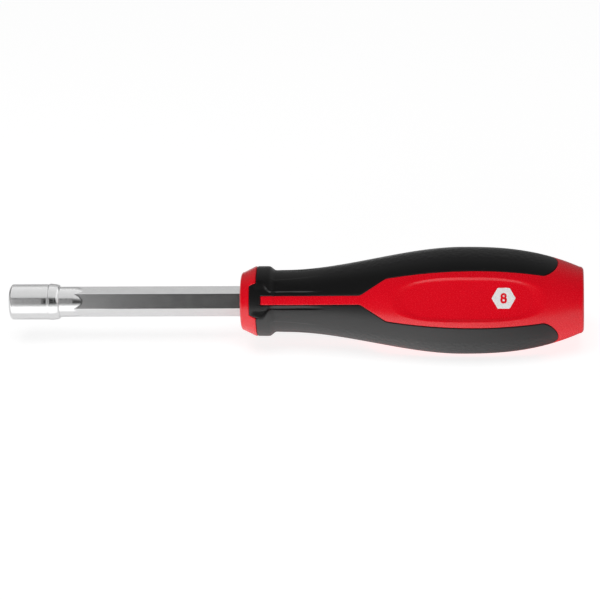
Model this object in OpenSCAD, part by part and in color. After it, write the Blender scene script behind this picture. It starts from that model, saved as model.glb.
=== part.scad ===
// Hollow-shaft nut driver: a steel shaft with a socket head and a ring magnet, moulded into a three-lobed
// handle that has a hard core, a hard body and a soft grip.
// X runs along the tool, from the middle of the socket's mouth at the origin to the butt. Z is up, and one
// of the three panels of the handle faces down.

/* [Socket] */
// Nut that the socket takes, across its flats
nut_af = 8; // [7:0.5:10]
// Play between nut and socket, across the flats
nut_play = 0.1; // [0.05:0.01:0.3]
// Depth of the hexagon, from the mouth to the magnet
socket_depth = 10; // [6:0.5:11]
// Wall between the hexagon's corners and the outside
socket_wall = 1.12; // [0.8:0.02:2]
// Radius of the rounded pocket in each corner
corner_pocket_r = 0.9; // [0.6:0.05:1.1]
// Depth of the cone that leads a nut in
lead_in_depth = 0.8; // [0.3:0.1:1.5]
// How far that cone reaches past the hexagon's corners
lead_in_rim = 0.12; // [0.04:0.02:0.2]
// Length of the head, with its rounded shoulder
head_length = 16; // [15:0.5:24]
// Chamfer round the mouth
mouth_chamfer = 0.7; // [0.3:0.1:0.9]
// Rounding of the shoulder behind the head
shoulder_r = 0.9; // [0.4:0.1:1.5]

/* [Shank] */
// Hexagon of the shank, across its flats
shank_af = 8.6; // [7.6:0.05:9]
// What the rounding takes off each corner of the hexagon
shank_corner_trim = 0.03; // [0.03:0.01:0.2]
// Diameter of the round neck behind the head
neck_d = 9.9; // [9.6:0.02:10.4]
// Length of the round neck
neck_length = 5.1; // [2:0.1:12]
// Length over which the neck slopes down to the flats
runout_length = 3; // [1:0.1:4]
// Shaft in front of the handle
exposed_length = 76; // [50:1:150]
// Shaft inside the handle
insert_length = 80; // [50:1:90]
// Bore that a long stud passes through
stud_bore_d = 5.5; // [4.5:0.1:6]
// Width of each groove that locks the shaft in the core
anchor_groove_w = 3; // [1:0.5:5]
// Diameter left inside the grooves
anchor_groove_d = 7.6; // [7:0.1:8]
// Distance between the grooves, and from the last to the end
anchor_groove_pitch = 12; // [8:1:20]

/* [Magnet] */
// Length of the ring magnet
magnet_length = 3; // [1.5:0.5:4]
// Wall of the ring magnet
magnet_wall = 0.95; // [0.6:0.05:1.1]
// Gap all round the magnet
magnet_play = 0.05; // [0.02:0.01:0.1]

/* [Handle] */
// Length of the handle, from the nose to the butt
handle_length = 111; // [95:1:130]
// Diameter of the flat front of the nose
nose_front_d = 16.4; // [12:0.2:17]
// Diameter of the nose behind its rounding
nose_d = 19; // [18:0.2:21]
// Length of the rounding of the nose
nose_round = 1; // [1:0.1:2.4]
// Diameter of the collar
collar_d = 22.8; // [21.5:0.1:26]
// Where the collar is at its full diameter, from the nose
collar_start = 4.8; // [4:0.1:5.6]
// Where the collar ends
collar_end = 9.5; // [8:0.1:11]
// Length of the slope behind the collar
collar_slope = 1.7; // [0.8:0.1:2.5]
// Diameter of the grip's neck
grip_neck_d = 20.2; // [19:0.1:21]
// Where the neck starts to swell
swell_start = 14; // [12:0.5:20]
// Distance from the fullest place to the butt
belly_setback = 39; // [31:1:45]
// Mean diameter where the handle is fullest
belly_d = 34.2; // [31:0.2:38]
// Mean diameter at the butt
butt_d = 20.4; // [18:0.2:24]
// Rounding round the butt
butt_round = 1.3; // [0.4:0.1:2]
// Bulge of the rear half: how late the butt draws in
rear_exponent = 2.55; // [2:0.05:3.5]

/* [Lobes and flutes] */
// Height of the lobes on the collar and neck, as a share of the radius
neck_lobe_share = 0.012; // [0:0.002:0.03]
// Height of the lobes where the handle is fullest, as a share of the radius
belly_lobe_share = 0.055; // [0:0.005:0.08]
// Height of the lobes at the butt, as a share of the radius
butt_lobe_share = 0.03; // [0:0.005:0.05]
// Depth of the flutes in the neck
flute_depth = 0.45; // [0.1:0.05:0.7]
// Angle between a lobe's crest and the flutes beside it
flute_angle = 31; // [27:1:34]
// Angle that a flute takes up
flute_span = 24; // [16:1:28]
// Where the flutes start to run out
flute_fade_start = 19; // [14:0.5:24]
// Where the flutes have run out
flute_end = 29; // [26:0.5:36]

/* [Panels] */
// Width of the stripe along the neck
stripe_w = 2.95; // [1.5:0.05:4.5]
// Where the stripe starts
stripe_start = 6.8; // [5.8:0.1:7.5]
// Where the stripe opens into the panel, from the butt
panel_setback = 71.8; // [67:0.2:79]
// Length over which it opens
arrow_length = 8.3; // [5:0.1:12]
// Width of the panel behind that arrow
panel_front_w = 13.8; // [10:0.2:15]
// Greatest width of the panel
panel_w = 18.4; // [16:0.2:20]
// Where the panel is widest, from the butt
panel_widest_setback = 35; // [25:1:45]
// Width of the panel at its rear corners
panel_rear_w = 15.2; // [13:0.2:16.5]
// Where the rear corners are, from the butt
panel_rear_setback = 12.7; // [11:0.1:16]
// Length of the sunk field in the panel
field_length = 50; // [30:0.5:52]
// Width of the sunk field
field_w = 13.7; // [8:0.1:14.5]
// Middle of the sunk field, from the butt
field_setback = 37; // [35:0.5:40]
// Depth of the sunk field in its middle, where its floor is flat across
field_depth = 1.35; // [1.2:0.05:2]
// Depth of the sunk field at its ends
field_end_depth = 0.25; // [0.2:0.05:0.8]

/* [Grip] */
// Thickness of the grip
grip_wall = 2.2; // [1.4:0.1:2.4]
// Where the grip's tongues reach forward, in line with the stripes
tongue_start = 3; // [2.4:0.05:3.4]
// Where the body's teeth between the tongues end
tooth_end = 5.2; // [4.6:0.1:5.6]
// Width of a tooth at its end
tooth_tip_w = 10.8; // [6:0.1:11.2]
// Width of a tooth at its root
tooth_root_w = 11.4; // [11.2:0.1:13]
// Where the lobes of the grip end, from the butt
lobe_setback = 8.2; // [6:0.1:10]
// Rounding of the lobes' ends
lobe_end_r = 7.6; // [7:0.1:9.5]

/* [Core] */
// Wall of the core over the shank's corners
core_wall = 1.8; // [1.2:0.1:2]
// Where the core starts, from the nose
core_start = 3; // [2:0.1:5]
// Hard body behind the core
core_end_wall = 8; // [5:0.5:12]
// Diameter of the flanges that lock the body on the core
core_flange_d = 22; // [18:0.5:24]
// Width of a flange
core_flange_w = 4; // [2:0.5:8]
// Distance from the last flange to the butt
core_flange_setback = 27; // [23:1:32]
// Distance between the flanges
core_flange_pitch = 24; // [16:1:28]
// Gap round a stud in the moulded bore behind the shaft
rear_bore_play = 0.25; // [0.1:0.05:0.6]

/* [Hidden] */
$fn = 64;

// How far cuts run past the faces that they open
overrun = 1;
lobe_count = 3;
lobe_pitch = 360 / lobe_count;
anchor_grooves = 2;
core_flanges = 2;

socket_af = nut_af + nut_play;
socket_corner_r = socket_af / sqrt(3);
corner_pocket_at = socket_corner_r - corner_pocket_r;
lead_in_r = socket_corner_r + lead_in_rim;
head_r = socket_corner_r + socket_wall;
neck_r = neck_d / 2;
shoulder = min(shoulder_r, head_r - neck_r);
shank_corner_r = shank_af / sqrt(3) - shank_corner_trim;
hex_start = head_length + neck_length;
runout_end_r = stud_bore_d / 2;
runout_slope = (neck_r - shank_af / 2) / runout_length;
shaft_length = exposed_length + insert_length;
stud_r = stud_bore_d / 2;
magnet_bore_r = stud_r + magnet_play;
magnet_r = magnet_bore_r + magnet_wall;
magnet_seat_r = magnet_r + magnet_play;

neck_start = collar_end + collar_slope;
belly_at = handle_length - belly_setback;
panel_start = handle_length - panel_setback;
panel_widest_at = handle_length - panel_widest_setback;
panel_rear_at = handle_length - panel_rear_setback;
field_at = handle_length - field_setback;
lobe_end = handle_length - lobe_setback;
core_flange_at = handle_length - core_flange_setback - core_flange_w;
butt_start = handle_length - butt_round;
blank_r = belly_d / 2 * (1 + belly_lobe_share) + overrun;
core_r = shank_corner_r + core_wall;
core_end = handle_length - core_end_wall;
rear_bore_r = stud_r + rear_bore_play;
// How much of a lobe's rounded end is an arc, as a share of its radius
lobe_shoulder_share = 0.75;

// Facets of the handle's surface: round it, and along its stretches
handle_sides = 72;
nose_steps = 4;
swell_steps = 14;
rear_steps = 9;
butt_steps = 2;
outline_steps = 6;
shoulder_steps = 6;
field_sides = 32;
field_steps = 14;
// Bluntness of the sunk field's oval
field_exponent = 2.9;

function mix(a, b, t) = a + (b - a) * t;
function clamped(t) = min(max(t, 0), 1);
function smooth(t) = let (c = clamped(t)) c * c * (3 - 2 * c);

// Outline of the handle, by distance from the nose
function nose_radius(z) =
    mix(nose_front_d, nose_d, sqrt(1 - pow(1 - z / nose_round, 2))) / 2;
function swell(z) = smooth((z - swell_start) / (belly_at - swell_start));
function rear_share(z) = (z - belly_at) / (handle_length - belly_at);
function butt_edge(z) =
    z <= butt_start ? 0 : butt_round - sqrt(max(0, pow(butt_round, 2) - pow(z - butt_start, 2)));
function mean_radius(z) =
    z <= nose_round ? nose_radius(z)
    : z <= collar_start ? mix(nose_d, collar_d, (z - nose_round) / (collar_start - nose_round)) / 2
    : z <= collar_end ? collar_d / 2
    : z <= neck_start ? mix(collar_d, grip_neck_d, (z - collar_end) / collar_slope) / 2
    : z <= belly_at ? mix(grip_neck_d, belly_d, swell(z)) / 2
    : mix(belly_d, butt_d, pow(rear_share(z), rear_exponent)) / 2 - butt_edge(z);
function lobe_share(z) =
    z <= belly_at ? mix(neck_lobe_share, belly_lobe_share, swell(z))
    : mix(belly_lobe_share, butt_lobe_share, pow(rear_share(z), 2));

// Flutes beside each lobe's crest, deepest behind the collar
function flute_fade(z) =
    z < neck_start ? 0 : 1 - smooth((z - flute_fade_start) / (flute_end - flute_fade_start));
function off_crest(angle) =
    let (turn = (angle + lobe_pitch) % lobe_pitch) abs(turn - lobe_pitch / 2);
function flute(z, angle) =
    let (off = abs(off_crest(angle) - flute_angle) / (flute_span / 2))
    off >= 1 ? 0 : flute_depth * flute_fade(z) * (1 + cos(180 * off)) / 2;

// Radius of the handle's surface: panels at 0, 120 and 240 degrees, lobes between them
function surface_radius(z, angle) =
    mean_radius(z) * (1 - lobe_share(z) * cos(lobe_count * angle)) - flute(z, angle);
function under_radius(z) = mean_radius(z) * (1 - lobe_share(z)) - grip_wall;
outward_start = under_radius(neck_start) - overrun;

handle_stations = concat(
    [for (i = [0 : nose_steps]) nose_round * (1 - cos(90 * i / nose_steps))],
    [collar_start, collar_end],
    [for (i = [0 : swell_steps]) mix(neck_start, belly_at, i / swell_steps)],
    [for (i = [1 : rear_steps]) mix(belly_at, butt_start, i / rear_steps)],
    [for (i = [1 : butt_steps]) butt_start + butt_round * sin(90 * i / butt_steps)]
);
under_stations = concat(
    [tongue_start, collar_start, collar_end, neck_start, swell_start],
    [for (i = [1 : outline_steps]) mix(swell_start, belly_at, i / outline_steps)],
    [for (i = [1 : outline_steps]) mix(belly_at, lobe_end + overrun, i / outline_steps)]
);

// Triangles of a tube of rings, closed round and capped at both ends
function ring_faces(rings, sides) = concat(
    [[for (i = [0 : sides - 1]) i]],
    [[for (i = [sides - 1 : -1 : 0]) (rings - 1) * sides + i]],
    [for (j = [0 : rings - 2], i = [0 : sides - 1])
        let (next = (i + 1) % sides)
        [j * sides + i, (j + 1) * sides + i, (j + 1) * sides + next]],
    [for (j = [0 : rings - 2], i = [0 : sides - 1])
        let (next = (i + 1) % sides)
        [j * sides + i, (j + 1) * sides + next, j * sides + next]]
);

// Turns the tool's axis from Z to X
module along_x() {
    rotate([0, 90, 0]) children();
}

// Moves from the socket's mouth to the handle's nose
module at_nose() {
    translate([0, 0, exposed_length]) children();
}

// Extrudes an outline, drawn along the tool, outward from inside the body to past the handle's surface
module outward() {
    rotate([0, 90, 0]) translate([0, 0, outward_start]) linear_extrude(blank_r) mirror([1, 0]) children();
}

module hexagon(af) {
    rotate(30) circle(r = af / sqrt(3), $fn = 6);
}

// Outside of the head and neck, down to the slope into the flats
module head_blank() {
    rotate_extrude() polygon(concat(
        [[0, 0], [head_r - mouth_chamfer, 0], [head_r, mouth_chamfer]],
        [for (i = [0 : shoulder_steps])
            let (a = 90 * i / shoulder_steps)
            [head_r - shoulder * (1 - cos(a)), head_length - shoulder * (1 - sin(a))]],
        [[neck_r, head_length], [neck_r, hex_start],
         [runout_end_r, hex_start + (neck_r - runout_end_r) / runout_slope],
         [0, hex_start + (neck_r - runout_end_r) / runout_slope]]
    ));
}

// Hexagonal bar with rounded corners and the grooves at its buried end
module shank_blank() {
    difference() {
        intersection() {
            translate([0, 0, head_length]) linear_extrude(shaft_length - head_length) hexagon(shank_af);
            translate([0, 0, head_length - overrun])
                cylinder(r = shank_corner_r, h = shaft_length - head_length + 2 * overrun);
        }
        for (i = [1 : anchor_grooves])
            translate([0, 0, shaft_length - i * anchor_groove_pitch])
                difference() {
                    cylinder(r = neck_r + overrun, h = anchor_groove_w);
                    translate([0, 0, -overrun])
                        cylinder(d = anchor_groove_d, h = anchor_groove_w + 2 * overrun);
                }
    }
}

module shaft_blank() {
    union() {
        head_blank();
        shank_blank();
    }
}

// Lobed hexagon, its lead-in and the seat of the magnet
module socket_cut() {
    translate([0, 0, -overrun]) linear_extrude(socket_depth + overrun) {
        intersection() {
            hexagon(socket_af);
            circle(r = socket_corner_r - corner_pocket_r / 4);
        }
        for (i = [0 : 5]) rotate(30 + 60 * i) translate([corner_pocket_at, 0]) circle(r = corner_pocket_r);
    }
    translate([0, 0, -overrun])
        cylinder(r1 = lead_in_r + overrun, r2 = lead_in_r - lead_in_depth, h = lead_in_depth + overrun);
    cylinder(r = magnet_seat_r, h = socket_depth + magnet_length);
}

module shaft() {
    color("silver") along_x() difference() {
        shaft_blank();
        socket_cut();
        translate([0, 0, -overrun]) cylinder(r = stud_r, h = shaft_length + 2 * overrun);
    }
}

module ring_magnet() {
    color("dimgray") along_x() translate([0, 0, socket_depth]) difference() {
        cylinder(r = magnet_r, h = magnet_length);
        translate([0, 0, -overrun]) cylinder(r = magnet_bore_r, h = magnet_length + 2 * overrun);
    }
}

// Sleeve with flanges, without the hole for the shaft
module core_blank() {
    translate([0, 0, core_start]) cylinder(r = core_r, h = core_end - core_start);
    for (i = [0 : core_flanges - 1])
        translate([0, 0, core_flange_at - i * core_flange_pitch])
            cylinder(d = core_flange_d, h = core_flange_w);
}

module rear_bore() {
    translate([0, 0, insert_length - overrun])
        cylinder(r = rear_bore_r, h = handle_length - insert_length + 2 * overrun);
}

module inner_core() {
    color("gray") along_x() difference() {
        at_nose() core_blank();
        shaft_blank();
        at_nose() rear_bore();
    }
}

// Whole outside of the handle
module handle_blank() {
    polyhedron(
        [for (z = handle_stations, i = [0 : handle_sides - 1])
            let (a = 360 * i / handle_sides, r = surface_radius(z, a))
            [r * cos(a), r * sin(a), z]],
        ring_faces(len(handle_stations), handle_sides)
    );
}

// Half of the panel's outline: stripe, arrow and the two bowed stretches of the side
function panel_side() = concat(
    [[stripe_start, stripe_w / 2], [panel_start, stripe_w / 2]],
    [for (i = [0 : outline_steps])
        let (t = 1 - i / outline_steps)
        [mix(panel_widest_at, panel_start + arrow_length, t), mix(panel_w, panel_front_w, t * t) / 2]],
    [for (i = [1 : outline_steps])
        let (t = i / outline_steps)
        [mix(panel_widest_at, panel_rear_at, t), mix(panel_w, panel_rear_w, t * t) / 2]],
    [[handle_length + overrun, panel_rear_w / 2]]
);

module panel_outline() {
    side = panel_side();
    polygon(concat(side, [for (i = [len(side) - 1 : -1 : 0]) [side[i][0], -side[i][1]]]));
}

// Tooth of the body that reaches back between two tongues of the grip
module tooth_outline() {
    polygon([
        [tongue_start - overrun, -tooth_root_w / 2], [tongue_start, -tooth_root_w / 2],
        [tooth_end, -tooth_tip_w / 2], [tooth_end, tooth_tip_w / 2],
        [tongue_start, tooth_root_w / 2], [tongue_start - overrun, tooth_root_w / 2]
    ]);
}

// Body behind the rounded end of a lobe
module lobe_end_outline() {
    shoulder_at = lobe_end - lobe_end_r * lobe_shoulder_share;
    difference() {
        translate([shoulder_at, -belly_d / 2]) square([handle_length - shoulder_at, belly_d]);
        translate([lobe_end - lobe_end_r, 0]) circle(r = lobe_end_r);
    }
}

// Space that the grip fills, run past the handle's surface
module grip_space() {
    difference() {
        rotate_extrude() polygon(concat(
            [for (z = under_stations) [under_radius(z), z]],
            [[blank_r, lobe_end + overrun], [blank_r, tongue_start]]
        ));
        for (i = [0 : lobe_count - 1]) rotate(i * lobe_pitch) outward() panel_outline();
        for (i = [0 : lobe_count - 1]) rotate((i + 0.5) * lobe_pitch) {
            outward() tooth_outline();
            outward() lobe_end_outline();
        }
    }
}

// Distance of the sunk field's floor from the axis
function field_floor(z) =
    let (off_middle = (z - field_at) / (field_length / 2))
    surface_radius(z, 0) - mix(field_depth, field_end_depth, pow(off_middle, 2));

module field_outline() {
    translate([field_at, 0]) polygon([for (i = [0 : field_sides - 1])
        let (a = 360 * (i + 0.5) / field_sides, power = 2 / field_exponent)
        [sign(cos(a)) * pow(abs(cos(a)), power) * field_length / 2,
         sign(sin(a)) * pow(abs(sin(a)), power) * field_w / 2]]);
}

// Space above the floor of a sunk field, run past the panel
module field_cut() {
    reach = field_length / 2 + overrun;
    floor_line = [for (i = [0 : field_steps])
        let (z = mix(field_at - reach, field_at + reach, i / field_steps))
        [field_floor(z), z]];
    intersection() {
        outward() field_outline();
        rotate([90, 0, 0]) linear_extrude(field_w + 2 * overrun, center = true)
            polygon(concat(floor_line, [[blank_r, field_at + reach], [blank_r, field_at - reach]]));
    }
}

module handle_body() {
    color([0.8, 0, 0.06]) along_x() difference() {
        at_nose() difference() {
            handle_blank();
            grip_space();
            core_blank();
            rear_bore();
            for (i = [0 : lobe_count - 1]) rotate(i * lobe_pitch) field_cut();
        }
        shaft_blank();
    }
}

module grip_overmould() {
    color([0.12, 0.12, 0.12]) along_x() at_nose() intersection() {
        handle_blank();
        grip_space();
    }
}

shaft();
ring_magnet();
inner_core();
handle_body();
grip_overmould();
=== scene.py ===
"""Looks of the hollow-shaft nut driver: dressed pieces, their finishes, a plain studio and the camera.

Lengths are millimetres, apart from the studio's, and POINT_SCALE turns them into metres. X runs along the
tool from the socket's mouth. On the handle, z is the distance from the nose, and an angle of 0 faces down:
panels sit at 0, 120 and 240 degrees, and lobes between them.
"""
import math
from collections import namedtuple

import bmesh
import bpy
import numpy as np
from mathutils import Matrix, Quaternion, Vector


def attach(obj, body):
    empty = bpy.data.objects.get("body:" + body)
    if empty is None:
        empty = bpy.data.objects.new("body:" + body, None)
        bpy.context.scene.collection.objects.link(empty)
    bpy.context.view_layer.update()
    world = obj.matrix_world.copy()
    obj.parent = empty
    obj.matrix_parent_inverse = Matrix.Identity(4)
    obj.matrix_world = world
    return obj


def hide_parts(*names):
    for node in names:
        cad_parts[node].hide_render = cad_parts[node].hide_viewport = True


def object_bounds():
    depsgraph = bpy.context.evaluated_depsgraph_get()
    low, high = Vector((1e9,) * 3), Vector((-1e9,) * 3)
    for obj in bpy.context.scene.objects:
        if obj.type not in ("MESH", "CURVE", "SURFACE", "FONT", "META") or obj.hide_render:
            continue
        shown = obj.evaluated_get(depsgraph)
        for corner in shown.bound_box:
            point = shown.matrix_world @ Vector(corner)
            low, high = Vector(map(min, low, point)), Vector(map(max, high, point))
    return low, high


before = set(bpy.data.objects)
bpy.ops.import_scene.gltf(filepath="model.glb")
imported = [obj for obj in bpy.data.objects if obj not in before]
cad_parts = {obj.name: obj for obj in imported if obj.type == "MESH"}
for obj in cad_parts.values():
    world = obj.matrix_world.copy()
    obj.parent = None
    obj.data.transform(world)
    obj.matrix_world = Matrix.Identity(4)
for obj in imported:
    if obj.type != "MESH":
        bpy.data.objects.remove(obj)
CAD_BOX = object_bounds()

POINT_SCALE = 0.001
SECTORS = 3
SECTOR_TURN = 2 * math.pi / SECTORS
CREST = SECTOR_TURN / 2
HEX_SIDES = 6
HEX_TURN = 2 * math.pi / HEX_SIDES
HALF_HEX_TURN = HEX_TURN / 2

# Socket head and shank
SOCKET_AF = 8.1
SOCKET_DEPTH = 10.0
SOCKET_WALL = 1.12
CORNER_POCKET_R = 0.9
LEAD_IN_DEPTH = 0.8
LEAD_IN_RIM = 0.12
HEAD_LENGTH = 16.0
MOUTH_CHAMFER = 0.7
SHOULDER_END = 16.45
BEAD_START = 12.6
BEAD_END = 14.75
BEAD_RISE = 0.2
BEAD_RISE_SHARE = 0.25
BEAD_TOP_SHARE = 0.42
BEAD_FALL = 1.6
HEAD_GROOVE_W = 0.5
HEAD_GROOVE_D = 0.03
EDGE_BREAK = 0.12
SHANK_AF = 8.6
SHANK_CORNER_R = 0.2
NECK_D = 9.9
NECK_LENGTH = 5.1
RUNOUT_LENGTH = 3.0
EXPOSED_LENGTH = 76.0
INSERT_LENGTH = 80.0
STUD_BORE_D = 5.5
MAGNET_LENGTH = 3.0
MAGNET_WALL = 0.95
MAGNET_PLAY = 0.05
MAGNET_CHAMFER = 0.18

# Handle
HANDLE_LENGTH = 111.0
NOSE_FRONT_D = 16.4
NOSE_D = 19.0
NOSE_ROUND = 1.0
COLLAR_D = 22.8
COLLAR_START = 4.8
COLLAR_END = 9.5
COLLAR_SLOPE = 1.7
GRIP_NECK_D = 20.2
SWELL_START = 14.0
BELLY_AT = 72.0
BELLY_D = 34.2
BUTT_D = 20.4
BUTT_ROUND = 1.3
REAR_EXPONENT = 2.55
NECK_LOBE_SHARE = 0.012
BELLY_LOBE_SHARE = 0.055
BUTT_LOBE_SHARE = 0.03
CREASE_EASE = 0.3
REAR_BORE_R = 3.0
REAR_BORE_DEPTH = 8.0
REAR_BORE_CHAMFER = 0.35
SHANK_GAP = 0.1

# Panels and stripes
STRIPE_W = 2.95
STRIPE_START = 6.8
STRIPE_RAMP = 1.1
STRIPE_RAMP_DROP = 0.28
PANEL_START = 39.2
ARROW_LENGTH = 8.3
ARROW_EASE = 0.5
PANEL_FRONT_W = 13.8
PANEL_W = 18.4
PANEL_WIDEST_AT = 76.0
PANEL_REAR_W = 15.2
PANEL_REAR_AT = 98.3
PANEL_FRAME_START = 45.4
BUTT_RING_AT = 104.6
FIELD_LENGTH = 50.0
FIELD_W = 14.5
FIELD_AT = 74.0
FIELD_DEPTH = 1.5
FIELD_END_DEPTH = 0.62
FIELD_END_LIMIT = 1.2
FIELD_EXPONENT = 2.9
FIELD_SIDE_WALL = 0.95
FIELD_WALL_BEND = 0.4
FIELD_END_WALL = 4.5
FIELD_EASE = 0.06
FIELD_SPINE_SHARE = 0.86
FIELD_BLUNT_SHARE = 0.62

# Grip
TONGUE_START = 3.0
TOOTH_END = 5.2
TOOTH_ANGLES = (math.radians(26.5), math.radians(31.5))
LOBE_END = 102.8
LOBE_END_R = 7.6
LOBE_TAIL_AT = 90.0
CHANNEL_R = 10.5
CHANNEL_HALF_WIDTHS = (3.95, 3.1)
CHANNEL_NARROWS_AT = 8.5
CHANNEL_WALL = 0.42
CHANNEL_MOUTH = (7.4, 9.4)
CHANNEL_MOUTH_WALL = 3.2
GROOVE_DEPTH = 0.42
GROOVE_EDGE_SHARE = 0.12
GROOVE_FADE = (19.0, 29.0)
NECK_STEP_DEPTH = 0.13
NECK_STEP_ANGLES = (math.radians(40.5), math.radians(47))
NECK_STEP_WALL = math.radians(1.6)
NECK_STEP_FADE = (21.0, 28.0)
DIP_DEPTH = 0.2
DIP_ANGLES = (math.radians(28), math.radians(41))

# Seams between the two shots
SEAM_GAP = 0.05
GRIP_ROLL = 0.28
GRIP_FRONT_ROLL = 0.6
BODY_ROLL = 0.2
GRIP_SKIN = 1.6
BODY_SKIN = 0.75

# Size mark
MARK_X = 161.3
MARK_RISE = 0.45
MARK_R = 3.82
MARK_LIFT = 0.03
MARK_SKIN = 0.06
MARK_PANEL = 2
MARK_ROLL_STEPS = 2
NUMERAL_RINGS = ((0.69, 0.95, 0.34), (-0.63, 1.06, 0.39))
HEXAGON_CELL = 0.25
NUMERAL_CELL = 0.09

# Meshes. Two vertices weld within a distance in metres, and stretches pair an end with a count of steps.
WELD_DISTANCE = 2e-8
SHARP_ANGLE = math.radians(38)
STEEL_SHARP_ANGLE = math.radians(28)
MITRE_LIMIT = 0.6
ROLL_STEPS = 4
EASE_SAMPLES = 5
SIDE_ROUNDS = 12
ARC_ROUNDS = 20
HALVINGS = 50
SNAP_ROUNDS = 4
SLOPE_REACH = 1e-4
TINY = 1e-12
PANEL_COLUMNS = 24
ARROW_MARGIN = 1.0
FRONT_MARGIN = 0.01
FRONT_CROWDING = 1.3
TAIL_CROWDING = 1.4
LOBE_STRETCHES = ((0.3, 8), (0.66, 20), (0.74, 3), (0.87, 16), (0.97, 5), (1, 3))
GRIP_NECK_STRETCHES = ((13.5, 34), (30, 30))
BUTT_FLAT_SHARES = (0.06, 0.3, 0.6, 0.9, 1.0)
BUTT_CHAMFER_SHARES = (0.5, 1.0)
BORE_ROWS_START = 1.0
HEAD_ROWS_START = 2.0
NECK_ROWS_GAP = 0.5
POCKET_ROW_MARGINS = (0.2, 0.1)
RUNOUT_ROW_MARGINS = (0.3, 0.5)
SHANK_ROWS_GAP = 1.0

# Finishes: colours and roughness run from the first value to the second.
STEEL_COLORS = ((0.67, 0.67, 0.675), (0.73, 0.73, 0.73))
STEEL_ROUGHNESS = (0.15, 0.3)
MAGNET_COLORS = ((0.27, 0.25, 0.22), (0.52, 0.49, 0.44))
MAGNET_ROUGHNESS = (0.6, 0.85)
CORE_COLORS = ((0.03, 0.03, 0.032), (0.055, 0.055, 0.058))
CORE_ROUGHNESS = (0.42, 0.6)
RED_COLORS = ((0.685, 0.0022, 0.0105), (0.725, 0.0035, 0.0145))
RED_ROUGHNESS = (0.23, 0.29)
RUBBER_COLORS = ((0.005, 0.005, 0.0052), (0.0075, 0.0075, 0.0077))
RUBBER_ROUGHNESS = (0.36, 0.46)
INK_COLORS = ((0.62, 0.62, 0.61), (0.8, 0.8, 0.79))
INK_ROUGHNESS = (0.42, 0.58)
INK_SPECKLE = (0.36, 0.56)
NOISE_RANGE = (0.3, 0.7)
DRAWN_SCALE = (90, 9000, 9000)
TURNED_SCALE = (7000, 60, 60)
DRAWN_TO_TURNED = (23.6, 21.6)
PEBBLES_START = 22.0
PEBBLES_FADE_IN = 12.0
PEBBLES_END = 101.0
PEBBLES_FADE_OUT = 6.0
PEBBLES_EDGE = (-0.78, -0.93)
PEBBLE_SLOPE = (0.75, 0.1)

# Sizes worked out from those above
HEAD_R = SOCKET_AF / math.sqrt(3) + SOCKET_WALL
NECK_R = NECK_D / 2
SHANK_R = SHANK_AF / 2
HEX_START = HEAD_LENGTH + NECK_LENGTH
RUNOUT_END = HEX_START + RUNOUT_LENGTH
SHAFT_LENGTH = EXPOSED_LENGTH + INSERT_LENGTH
STUD_R = STUD_BORE_D / 2
MAGNET_BORE_R = STUD_R + MAGNET_PLAY
MAGNET_R = MAGNET_BORE_R + MAGNET_WALL
MAGNET_SEAT_R = MAGNET_R + MAGNET_PLAY
NECK_START = COLLAR_END + COLLAR_SLOPE
BUTT_START = HANDLE_LENGTH - BUTT_ROUND
ARROW_END = PANEL_START + ARROW_LENGTH
LOBE_ARC_AT = LOBE_END - LOBE_END_R

# Studio, in metres. The floor's levels are pairs of a grey and a glow.
FLOOR_GAP = 0.0002
FLOOR_SIZE = 6.0
FLOOR_SEEN = (0.4, 0.82)
FLOOR_BOUNCED = (0.9, 0.75)
FLOOR_MIRRORED = (0.9, 0.44)
FLOOR_MIRRORED_RIGHT = (0.7, 0.0)
FLOOR_FADE = (0.13, 0.19)
WORLD_ABOVE = 0.05
WORLD_BEHIND = 0.28
WORLD_BEHIND_EDGE = (-0.1, 0.8)
WORLD_FRONT = 0.02
WORLD_FRONT_EDGE = (-0.2, -0.5)
CAMERA_ELEVATION = math.radians(29.3)
CAMERA_DISTANCE = 1.0
CAMERA_FOOT_X = 0.168
CAMERA_AIM_X = 0.095
CAMERA_AIM_RISE = 0.0003
CAMERA_ROLL = math.radians(-0.2)
CAMERA_FIELD = 0.1955
SENSOR_WIDTH = 36.0

# Lamps: azimuth counts from the front to the right, in degrees, and the radiance is even over the lamp.
Lamp = namedtuple("Lamp", "name aim azimuth elevation distance size radiance")
MIDDLE = (CAMERA_AIM_X, 0, 0)
NOSE = (EXPOSED_LENGTH * POINT_SCALE, 0, 0)
KEYS = (
    Lamp("low_key", MIDDLE, -6, 9, 1.1, (0.8, 0.3), 6.7),
    Lamp("high_key", MIDDLE, -4, 72, 1.1, (0.9, 0.6), 3.3),
)
BODY_KEYS = (
    Lamp("left_key", NOSE, -90, 10, 0.8, (0.5, 0.4), 1.5),
    Lamp("back_key", MIDDLE, 180, 60, 0.9, (0.6, 0.5), 1.2),
)
SHAFT_CARDS = (
    Lamp("card_above", (0.005, 0, 0), 180, 84, 0.25, (0.39, 0.45), 0.86),
    Lamp("card_behind", (-0.03, 0, 0), 180, 29, 0.5, (0.5, 0.3), 0.5),
    Lamp("card_left", (0, 0, 0), -90, 28, 0.5, (0.5, 0.7), 0.45),
    Lamp("card_right", (0.015, 0, 0), 86, 33, 0.35, (0.7, 0.4), 0.85),
    Lamp("card_front", (-0.545, 0, 0), 0, 31, 0.8, (0.9, 0.5), 0.58),
    Lamp("card_near", (-0.01, 0, -0.0064), 0, 0, 0.018, (0.08, 0.0226), 0.6),
)


def mix(a, b, t):
    return a + (b - a) * t


def share_of(value, start, end):
    """How far a value has come from start to end, from 0 to 1."""
    return np.clip((value - start) / (end - start), 0, 1)


def ease(value, start, end):
    """The same share with a smooth start and stop."""
    t = share_of(value, start, end)
    return t * t * (3 - 2 * t)


def steps(start, end, count):
    """Stations from start to end, in a count of even steps."""
    return np.linspace(start, end, count + 1)


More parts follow.
